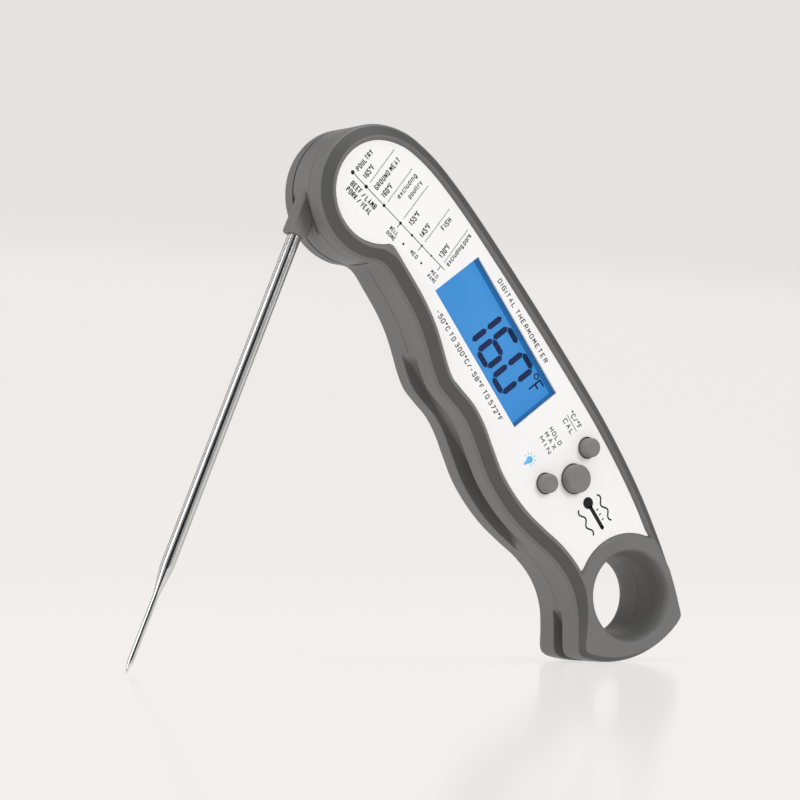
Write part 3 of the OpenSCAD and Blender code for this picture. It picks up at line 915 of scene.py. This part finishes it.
def black_print():
    """Doneness chart, titles and button legends, all in black ink."""
    weight = bpy.context.scene.thermometer_sizes.letter_weight
    marks = [lettering(t, at, length, tall, 90 + CHART_SLOPE, weight) for t, at, length, tall in UPWARDS]
    marks += [lettering(t, at, length, tall, CHART_SLOPE, weight) for t, at, length, tall in ALONG]
    marks += [lettering(t, at, length, tall, 0, LEVEL_WEIGHT) for t, at, length, tall in LEVEL]
    for start, end in DOTTED:
        marks += dotted(start, end)
    marks.append(bar(*SCALE_LINE, LINE_WIDTH))
    marks += [dot((x, y), r) for x, y, r in SCALE_DOTS]
    marks += [bar(a, b, LINE_WIDTH) for a, b in TICKS]
    marks.append(bar((76.7, 14.45), (81.8, 14.45), 0.16))
    marks += heat_mark()
    return piece("printed_chart", merged(marks), GRIP, "handle", [finishes()["ink"]], even=False)


def heat_mark():
    """Plain pictogram at the ring end: a bulb thermometer between two rising heat waves."""
    centre = Vector((102.6, 6.8))
    marks = ribbon([centre + Vector((-2.6, 0)), centre + Vector((4.1, 0))], 1.1)
    marks += [dot(centre + Vector((-3.6, 0)), 1.55, 32), dot(centre + Vector((4.1, 0)), 0.55, 20)]
    steps = [t / 4 for t in range(33)]
    for side in (-1, 1):
        heights = [side * (WAVE_AWAY + WAVE_SWING * math.sin(t * 1.57)) for t in steps]
        marks += ribbon([centre + Vector((t - 3.8, y)) for t, y in zip(steps, heights)], 0.45)
    for x in (-0.6, 0.9, 2.4):
        marks += ribbon([centre + Vector((x, 1.0)), centre + Vector((x, 1.8))], 0.3)
    return marks


def lamp_print():
    """Blue lamp beside the light button: a bulb with seven rays."""
    centre = Vector((79.6, -1.7))
    bulb = arc(centre, 0.95, 215, -35, 18) + [centre + Vector((0.42, -1.15)), centre + Vector((0.3, -2.1)),
                                            centre + Vector((-0.3, -2.1)), centre + Vector((-0.42, -1.15))]
    marks = [prism(bulb, INK_LOW, INK_HIGH)]
    for a in range(-20, 201, 36):
        ray = Vector((math.cos(math.radians(a)), math.sin(math.radians(a))))
        marks.append(bar(centre + 1.3 * ray, centre + 1.95 * ray, LINE_WIDTH))
    return piece("printed_lamp", merged(marks), GRIP, "handle", [finishes()["blue_ink"]], even=False)


SEGMENTS = {
    "0": "abcdef", "1": "bc", "2": "abged", "3": "abgcd", "4": "fgbc", "5": "afgcd", "6": "afgedc", "7": "abc",
    "8": "abcdefg", "9": "abcdfg",
}
DIGIT_W = 5.1
DIGIT_H = 11.2
DIGIT_STARTS = (39.7, 47.9, 55.8)
DIGIT_BASE = 0.9
# Shift of the figures for each millimetre that they lie below the face, so that they centre in the window as seen
SIGHT_SLOPE = Vector((0.35, 0.5))
SEGMENT_WIDTH = 1.55
SEGMENT_GAP = 0.12
FIGURE_LOW = GLASS_TOP - 0.02
FIGURE_HIGH = GLASS_TOP + 0.03


def segment(a, b):
    """One display segment: a bar with pointed ends, a little short of its two corners."""
    along = (b - a).normalized()
    side = Vector((-along.y, along.x)) * SEGMENT_WIDTH / 2
    tip = along * SEGMENT_WIDTH / 2
    a, b = a + along * SEGMENT_GAP, b - along * SEGMENT_GAP
    points = [a, a + tip - side, b - tip - side, b, b - tip + side, a + tip + side]
    return prism(points, FIGURE_LOW, FIGURE_HIGH)


def digit(character, x, y):
    """Seven-segment figure whose segments' centre lines start at x, y."""
    w, h = DIGIT_W, DIGIT_H
    places = {
        "a": ((0, h), (w, h)), "b": ((w, h / 2), (w, h)), "c": ((w, 0), (w, h / 2)), "d": ((0, 0), (w, 0)),
        "e": ((0, 0), (0, h / 2)), "f": ((0, h / 2), (0, h)), "g": ((0, h / 2), (w, h / 2)),
    }
    corner = Vector((x, y))
    return [segment(*(corner + Vector(end) for end in places[name])) for name in SEGMENTS[character]]


def display_figures():
    """Reading on the display: figures, a raised degree ring and a small F."""
    shift = SIGHT_SLOPE * (FACE_TOP - GLASS_TOP)
    marks = []
    for character, x in zip(bpy.context.scene.thermometer_sizes.reading, DIGIT_STARTS):
        marks += digit(character, x + shift.x, DIGIT_BASE + shift.y)
    ring_at = Vector((63.1, 12.1)) + shift
    wall = [(0.5, FIGURE_LOW), (0.85, FIGURE_LOW), (0.85, FIGURE_HIGH), (0.5, FIGURE_HIGH)]
    marks.append(moved(turned(wall, 32, closed=True), ring_at))
    foot = Vector((64.5, 8.3)) + shift
    for a, b in (((0, 0), (0, 4.4)), ((-0.2, 4.2), (1.9, 4.2)), ((0, 2.3), (1.5, 2.3))):
        marks.append(bar(foot + Vector(a), foot + Vector(b), 0.5, FIGURE_LOW, FIGURE_HIGH))
    return piece("display_figures", merged(marks), GRIP, "handle", [finishes()["digits"]], even=False)


def window():
    """Clear window flush with the face, and the walls between it and the display, which glow a darker blue as painted
    shade.
    """
    mats = finishes()
    lens = block(WINDOW_LOW, WINDOW_HIGH, 0.06)
    piece("window_pane", lens, GRIP, "handle", [mats["lens"]], ["window_lens"])
    low, high = GLASS_TOP + 0.02, WINDOW_LOW.z - 0.02
    # The surround glows a darker blue: painted shade along the window's edge.
    frame_wall = screen_hole(low, high, -0.03)
    hole = screen_hole(low - 1, high + 1, -0.22)
    piece("display_surround", combine(frame_wall, [hole], "DIFFERENCE"), GRIP, "handle",
          [mats["display_wall_painted_shade"]])


# ---------------------------------------------------------------- buttons, hub, probe, cover


def button_cap(name):
    """Cap with a rolled edge and a slightly hollow top, on a flange."""
    centre, top = button_place(name)
    r = BUTTONS[name][0]
    low = CEILING - 0.85
    profile = [
        (0, low), (r + 0.9, low), (r + 0.9, low + 0.8), (r + 0.04, low + 0.8), (r, top - 1.1), (r - 0.03, top - 0.62),
        (r - 0.12, top - 0.32), (r - 0.3, top - 0.12), (r - 0.55, top - 0.02), (r - 0.8, top), (r * 0.5, top - 0.05),
        (r * 0.2, top - 0.09), (0, top - 0.1),
    ]
    cap = moved(turned(profile, SMALL_ROUND), centre)
    return piece(name + "_cap", cap, GRIP, name, [finishes()["button"]], [name], sharp=50)


def probe_radius():
    """Radius of the straight part of the probe, in mm."""
    return bpy.context.scene.thermometer_sizes.probe_diameter / 2 / MM


def hub_body():
    """Drum with the probe sleeve, folded along +x, with hollows beside the sleeve."""
    r, h = HUB_R, HUB_HALF
    rim = [(r - 0.3, -h), (r - 0.08, -h + 0.08), (r, -h + 0.3), (r, h - 0.3), (r - 0.08, h - 0.08), (r - 0.3, h)]
    drum = turned([(PIN_HOLE_R, -h)] + rim + [(PIN_HOLE_R, h)], HUB_ROUND, closed=True)
    s, e, rod = SLEEVE_R, SLEEVE_END_R, probe_radius()
    sleeve = turned([(0, 0), (s, 0), (s, 5), (e, SLEEVE_END - 0.35), (e - 0.1, SLEEVE_END - 0.1),
                     (e - 0.35, SLEEVE_END), (0, SLEEVE_END)], SMALL_ROUND, axis=(1, 0, 0))
    web = prism([(6, -13), (16.4, -13), (16.4, -11.2), (13.4, -10.2), (8, -8)], -1.8, 1.8)
    joined = combine(drum, [moved(sleeve, (0, -SLEEVE_OFFSET, 0)), web], "UNION")
    hollow = [(6.6, -16.0), (14.9, -8.2), (21, -8.2), (21, -21), (6.6, -21)]
    cutters = [prism(hollow, low, high) for low, high in ((WEB_SIDE, h + 1), (-h - 1, -WEB_SIDE))]
    bore = turned([(0, 3), (rod + 0.04, 3), (rod + 0.04, SLEEVE_END - 0.25), (rod + 0.3, SLEEVE_END + 0.05),
                   (rod + 0.3, SLEEVE_END + 1), (0, SLEEVE_END + 1)], 48, axis=(1, 0, 0))
    cutters.append(moved(bore, (0, -PROBE_OFFSET, 0)))
    return piece("probe_hub_moulding", combine(joined, cutters, "DIFFERENCE"), PROBE, "probe",
                 [finishes()["hub"]], ["probe_hub"])


def probe_rod():
    """Polished tube, long cone, thin end and sharp point."""
    thin_x = PROBE_REACH - THIN_LENGTH
    cone_x = thin_x - TAPER_LENGTH
    point_x = PROBE_REACH - POINT_LENGTH
    r = probe_radius()
    profile = [(0, 4), (r, 4)]
    profile += [(r, x) for x in (SLEEVE_END, 45, 75, cone_x - 0.6)]
    profile += [(r - 0.02, cone_x), (r - 0.1, cone_x + 0.6)]
    profile += [(THIN_R + 0.1, thin_x - 0.7), (THIN_R + 0.02, thin_x), (THIN_R, thin_x + 0.8), (THIN_R, point_x - 0.3)]
    profile += [(THIN_R - 0.03, point_x), (THIN_R - 0.08, point_x + 0.5), (0.42, PROBE_REACH - 1.0),
                (0.16, PROBE_REACH - 0.2), (0, PROBE_REACH)]
    rod = turned(profile, SMALL_ROUND, axis=(1, 0, 0))
    return piece("probe_rod", moved(rod, (0, -PROBE_OFFSET, 0)), PROBE, "probe",
                 [finishes()["steel"]], ["probe_tube"], sharp=40)


COVER_NECK_R = 9.7
COIN_SLOT = Vector((5.2, 0.85))


def battery_cover():
    """Cover with a coin slot and a raised turning mark."""
    centre = cover_centre()
    low, r = COVER_LOW.z, (COVER_HIGH.x - COVER_LOW.x) / 2
    disc = turned([(0, low), (r - 0.5, low), (r - 0.18, low + 0.06), (r - 0.03, low + 0.2), (r, low + 0.45),
                   (r, low + 1.9), (COVER_NECK_R, low + 1.9), (COVER_NECK_R, COVER_HIGH.z), (0, COVER_HIGH.z)],
                  RIM_ROUND)
    slot = block((-COIN_SLOT.x, -COIN_SLOT.y, low - 1), (COIN_SLOT.x, COIN_SLOT.y, low + 0.95))
    upright = [e for e in slot.edges if abs(e.verts[0].co.z - e.verts[1].co.z) > 1]
    bmesh.ops.bevel(slot, geom=upright, offset=0.6, affect="EDGES", segments=4, profile=0.5, material=-1)
    groove = turned([(8.6, low - 1), (9.0, low - 1), (9.0, low + 0.25), (8.6, low + 0.25)], RIM_ROUND, closed=True)
    arrow = prism([(-1.1, 6.0), (1.1, 6.0), (0, 7.6)], low - 1, low + 0.25)
    cover = combine(disc, [slot, groove, arrow], "DIFFERENCE")
    return piece("battery_cover_moulding", moved(cover, centre), GRIP, "battery_cover",
                 [finishes()["grip"]], ["battery_cover"])


# ---------------------------------------------------------------- carried-over CAD nodes

# The LCD frame glows in the surround's darker blue: painted shade.
NODE_FINISH = {
    "shell_gasket": "rubber", "lcd_frame": "display_wall_painted_shade", "lcd_glass": "display", "backlight_panel": "light_panel",
    "zebra_strips": "rubber", "circuit_board": "board", "controller_chip": "black", "button_switches": "black",
    "reed_switch": "tube_glass", "battery_clip": "spring", "battery_spring": "spring", "battery_cell": "cell",
    "magnets": "magnet", "shell_screws": "screw", "pivot_pin": "screw", "pivot_washers": "washer",
    "hub_leads": "lead", "hub_o_rings": "rubber", "hub_magnet": "magnet", "sensor_bead": "bead",
    "sensor_leads": "lead", "cover_o_ring": "rubber",
}


def inner_pieces():
    """The pieces whose CAD shape is kept: each gets its own finish."""
    for name, finish in NODE_FINISH.items():
        mesh = frame["nodes"][name].data
        mesh.materials.clear()
        mesh.materials.append(finishes()[finish])


# ---------------------------------------------------------------- stage


def studio_paper():
    """Pale paper that glows a little, so that floor and backdrop meet without a line, under a thin gloss."""
    m = bpy.data.materials.new("studio_paper")
    m.use_nodes = True
    tree = m.node_tree
    tree.nodes.remove(shader_of(m))
    out = next(n for n in tree.nodes if n.type == "OUTPUT_MATERIAL")
    glow = node(tree, "ShaderNodeEmission", Strength=0.875, Color=(0.965, 0.93, 0.904, 1))
    matt = node(tree, "ShaderNodeBsdfDiffuse", Color=(0.12, 0.12, 0.12, 1))
    paper = node(tree, "ShaderNodeAddShader")
    gloss = node(tree, "ShaderNodeBsdfGlossy", Roughness=0.13)
    top = node(tree, "ShaderNodeMixShader", Fac=0.22)
    tree.links.new(glow.outputs[0], paper.inputs[0])
    tree.links.new(matt.outputs[0], paper.inputs[1])
    tree.links.new(paper.outputs[0], top.inputs[1])
    tree.links.new(gloss.outputs[0], top.inputs[2])
    tree.links.new(top.outputs[0], out.inputs["Surface"])
    return m


FLOOR_WIDTH = 7
CURVE_AT = 1.2
CURVE_R = 0.9


def stage_floor():
    """Pale glossy table that curves up into a backdrop."""
    bend = [i * math.pi / 24 for i in range(1, 13)]
    path = [(-1.6, 0.0), (CURVE_AT, 0.0)]
    path += [(CURVE_AT + CURVE_R * math.sin(a), CURVE_R - CURVE_R * math.cos(a)) for a in bend]
    path += [(CURVE_AT + CURVE_R, 3.4)]
    bm = bmesh.new()
    verts = [bm.verts.new((-FLOOR_WIDTH / 2, y, z)) for y, z in path]
    edges = [bm.edges.new(pair) for pair in zip(verts, verts[1:])]
    made = bmesh.ops.extrude_edge_only(bm, edges=edges)["geom"]
    bmesh.ops.translate(bm, vec=(FLOOR_WIDTH, 0, 0), verts=made_of(bmesh.types.BMVert, made))
    bmesh.ops.recalc_face_normals(bm, faces=bm.faces)
    smooth_faces(bm)
    obj = solid_object("studio_floor", bm)
    obj.data.materials.append(studio_paper())


def soft_light(name, place, target, size, power):
    """White rectangular lamp at a place, turned to the target."""
    data = bpy.data.lights.new(name, "AREA")
    data.shape = "RECTANGLE"
    data.size, data.size_y = size
    data.energy = power
    obj = new_object(name, data)
    obj.location = place
    obj.rotation_euler = (Vector(target) - Vector(place)).to_track_quat("-Z", "Y").to_euler()


def dark_card(name, centre, size, facing):
    """Black card out of the camera's sight, seen only in reflections."""
    bm = bmesh.new()
    bmesh.ops.create_grid(bm, x_segments=1, y_segments=1, size=0.5)
    bmesh.ops.scale(bm, vec=(size[0], size[1], 1), verts=bm.verts)
    turn = (Vector(facing) - Vector(centre)).to_track_quat("Z", "Y").to_matrix().to_4x4()
    bmesh.ops.transform(bm, matrix=Matrix.Translation(centre) @ turn, verts=bm.verts)
    obj = solid_object(name, bm)
    m = blank_material("black_card", (0.01, 0.01, 0.01), 0.9)
    vary_roughness(m, object_noise(m.node_tree, 8.0, 2.0), 0.85, 0.95)
    obj.data.materials.append(m)
    obj.visible_camera = False
    obj.visible_shadow = False
    obj.visible_diffuse = False


CAMERA_AZIMUTH = math.radians(-31.595)
CAMERA_ELEVATION = math.radians(-2.0)
CAMERA_DISTANCE = 0.86041
CAMERA_TARGET = Vector((0.01179, 0.0, -0.051225))
CAMERA_LENS = 153.13


def camera():
    """The camera stands low on the left and looks at a point below the head."""
    target = HINGE + CAMERA_TARGET
    a, e = CAMERA_AZIMUTH, CAMERA_ELEVATION
    back = Vector((math.sin(a) * math.cos(e), -math.cos(a) * math.cos(e), math.sin(e)))
    data = bpy.data.cameras.new("camera")
    data.lens = CAMERA_LENS
    data.sensor_width = 36
    data.clip_end = 30
    obj = new_object("camera", data)
    obj.location = target + back * CAMERA_DISTANCE
    obj.rotation_euler = back.to_track_quat("Z", "Y").to_euler()
    bpy.context.scene.camera = obj


def lights():
    """Dim world, three soft lamps, and three dark cards for the steel and the gloss to reflect."""
    world = bpy.data.worlds.new("studio")
    world.use_nodes = True
    sky = world.node_tree.nodes["Background"]
    sky.inputs["Color"].default_value = (1.0, 0.99, 0.98, 1)
    sky.inputs["Strength"].default_value = 0.42
    bpy.context.scene.world = world
    centre = HINGE + Vector((0.01, 0, -0.06))
    soft_light("overhead", (0.1, -0.1, 1.3), centre, (0.8, 0.6), 5)
    soft_light("left_panel", (-1.15, -0.1, 0.5), centre, (0.35, 0.8), 4)
    soft_light("front_panel", (0.55, -1.4, 0.75), centre, (0.6, 0.6), 9)
    dark_card("camera_flag", (-0.498, -1.167, 0.2), (0.91, 1.2), centre)
    dark_card("right_flag", (0.853, 0.517, 0.3), (0.46, 1.3), centre)
    dark_card("left_flag", (0.074, 0.998, 0.3), (0.46, 1.3), centre)


# ---------------------------------------------------------------- the add-on


class ThermometerColours(bpy.types.PropertyGroup):
    """Colours and brightness of the finishes."""
    grip: FloatVectorProperty(name="Grip", description="Colour of the moulded grip", subtype="COLOR", size=3,
                              min=0, max=1, default=(0.158, 0.158, 0.158))
    # How much darker the sloped rim is than the grip: painted shade on the rim.
    rim_painted_shade: FloatProperty(name="Rim shade", description="Brightness of the sloped rim against the grip",
                             subtype="FACTOR", min=0.2, max=1.5, default=0.5)
    plate: FloatVectorProperty(name="Face", description="Colour of the printed face", subtype="COLOR", size=3,
                               min=0, max=1, default=(0.96, 0.96, 0.96))
    display_light: FloatProperty(name="Display light", description="Brightness of the lit display", min=0, max=5,
                                 default=0.9)


class ThermometerSizes(bpy.types.PropertyGroup):
    """Sizes of details that the frame leaves open, and the reading."""
    reading: StringProperty(name="Reading", description="Three figures shown on the display", default="160")
    letter_weight: FloatProperty(name="Letter weight", description="Stroke of the chart letters against their height",
                                 subtype="FACTOR", min=0.1, max=0.25, default=0.175)
    rim_width: FloatProperty(name="Rim width", description="Width of the sloped rim seen from the front",
                             subtype="DISTANCE", unit="LENGTH", min=0.002, max=0.0036, default=0.0033)
    probe_diameter: FloatProperty(name="Probe diameter", description="Diameter of the straight part of the probe",
                                  subtype="DISTANCE", unit="LENGTH", min=0.003, max=0.0036, default=0.0035)


class THERMOMETER_OT_stage(bpy.types.Operator):
    """Floor, soft lights and camera"""
    bl_idname = "thermometer.stage"
    bl_label = "Stage"

    def execute(self, context):
        stage_floor()
        lights()
        camera()
        return {"FINISHED"}


class THERMOMETER_OT_inner_pieces(bpy.types.Operator):
    """Finishes of the pieces that keep their frame shape"""
    bl_idname = "thermometer.inner_pieces"
    bl_label = "Inner pieces"

    def execute(self, context):
        inner_pieces()
        return {"FINISHED"}


class THERMOMETER_OT_shells(bpy.types.Operator):
    """Front and back half of the grip"""
    bl_idname = "thermometer.shells"
    bl_label = "Grip shells"

    def execute(self, context):
        front_shell()
        back_shell()
        return {"FINISHED"}


class THERMOMETER_OT_face(bpy.types.Operator):
    """Printed face plate"""
    bl_idname = "thermometer.face"
    bl_label = "Face plate"

    def execute(self, context):
        face_plate()
        return {"FINISHED"}


class THERMOMETER_OT_print(bpy.types.Operator):
    """Doneness chart, titles, legends and the lamp mark"""
    bl_idname = "thermometer.print"
    bl_label = "Print"

    def execute(self, context):
        black_print()
        lamp_print()
        return {"FINISHED"}


class THERMOMETER_OT_display(bpy.types.Operator):
    """Window, lit surround and the figures of the display"""
    bl_idname = "thermometer.display"
    bl_label = "Display"

    def execute(self, context):
        window()
        display_figures()
        return {"FINISHED"}


class THERMOMETER_OT_buttons(bpy.types.Operator):
    """The three round buttons"""
    bl_idname = "thermometer.buttons"
    bl_label = "Buttons"

    def execute(self, context):
        for name in BUTTONS:
            button_cap(name)
        return {"FINISHED"}


class THERMOMETER_OT_probe(bpy.types.Operator):
    """Probe hub and the steel probe"""
    bl_idname = "thermometer.probe"
    bl_label = "Probe"

    def execute(self, context):
        hub_body()
        probe_rod()
        return {"FINISHED"}


class THERMOMETER_OT_cover(bpy.types.Operator):
    """Battery cover with its coin slot"""
    bl_idname = "thermometer.cover"
    bl_label = "Battery cover"

    def execute(self, context):
        battery_cover()
        return {"FINISHED"}


class THERMOMETER_PT_panel(bpy.types.Panel):
    """Lists the steps of the model"""
    bl_idname = "THERMOMETER_PT_panel"
    bl_label = "Folding thermometer"
    bl_space_type = "VIEW_3D"
    bl_region_type = "UI"
    bl_category = "Thermometer"

    def draw(self, context):
        for group in (context.scene.thermometer_colours, context.scene.thermometer_sizes):
            for name in group.__annotations__:
                self.layout.prop(group, name)
        for step in STEPS:
            self.layout.operator(step.bl_idname)


STEPS = (
    THERMOMETER_OT_stage, THERMOMETER_OT_inner_pieces, THERMOMETER_OT_shells, THERMOMETER_OT_face,
    THERMOMETER_OT_print, THERMOMETER_OT_display, THERMOMETER_OT_buttons, THERMOMETER_OT_probe,
    THERMOMETER_OT_cover,
)
CLASSES = (ThermometerColours, ThermometerSizes) + STEPS + (THERMOMETER_PT_panel,)


def register():
    """Add the settings, steps and panel to Blender."""
    for c in CLASSES:
        bpy.utils.register_class(c)
    bpy.types.Scene.thermometer_colours = PointerProperty(type=ThermometerColours)
    bpy.types.Scene.thermometer_sizes = PointerProperty(type=ThermometerSizes)


def unregister():
    """Take them out again, in reverse."""
    del bpy.types.Scene.thermometer_sizes
    del bpy.types.Scene.thermometer_colours
    for c in reversed(CLASSES):
        bpy.utils.unregister_class(c)


def main():
    """Run every step in order, then set the view transform."""
    register()
    ops = bpy.ops.thermometer
    ops.stage()
    ops.inner_pieces()
    ops.shells()
    ops.face()
    ops.print()
    ops.display()
    ops.buttons()
    ops.probe()
    ops.cover()
    bpy.context.scene.view_settings.view_transform = "Standard"
    bpy.context.view_layer.update()


if __name__ == "__main__":
    main()
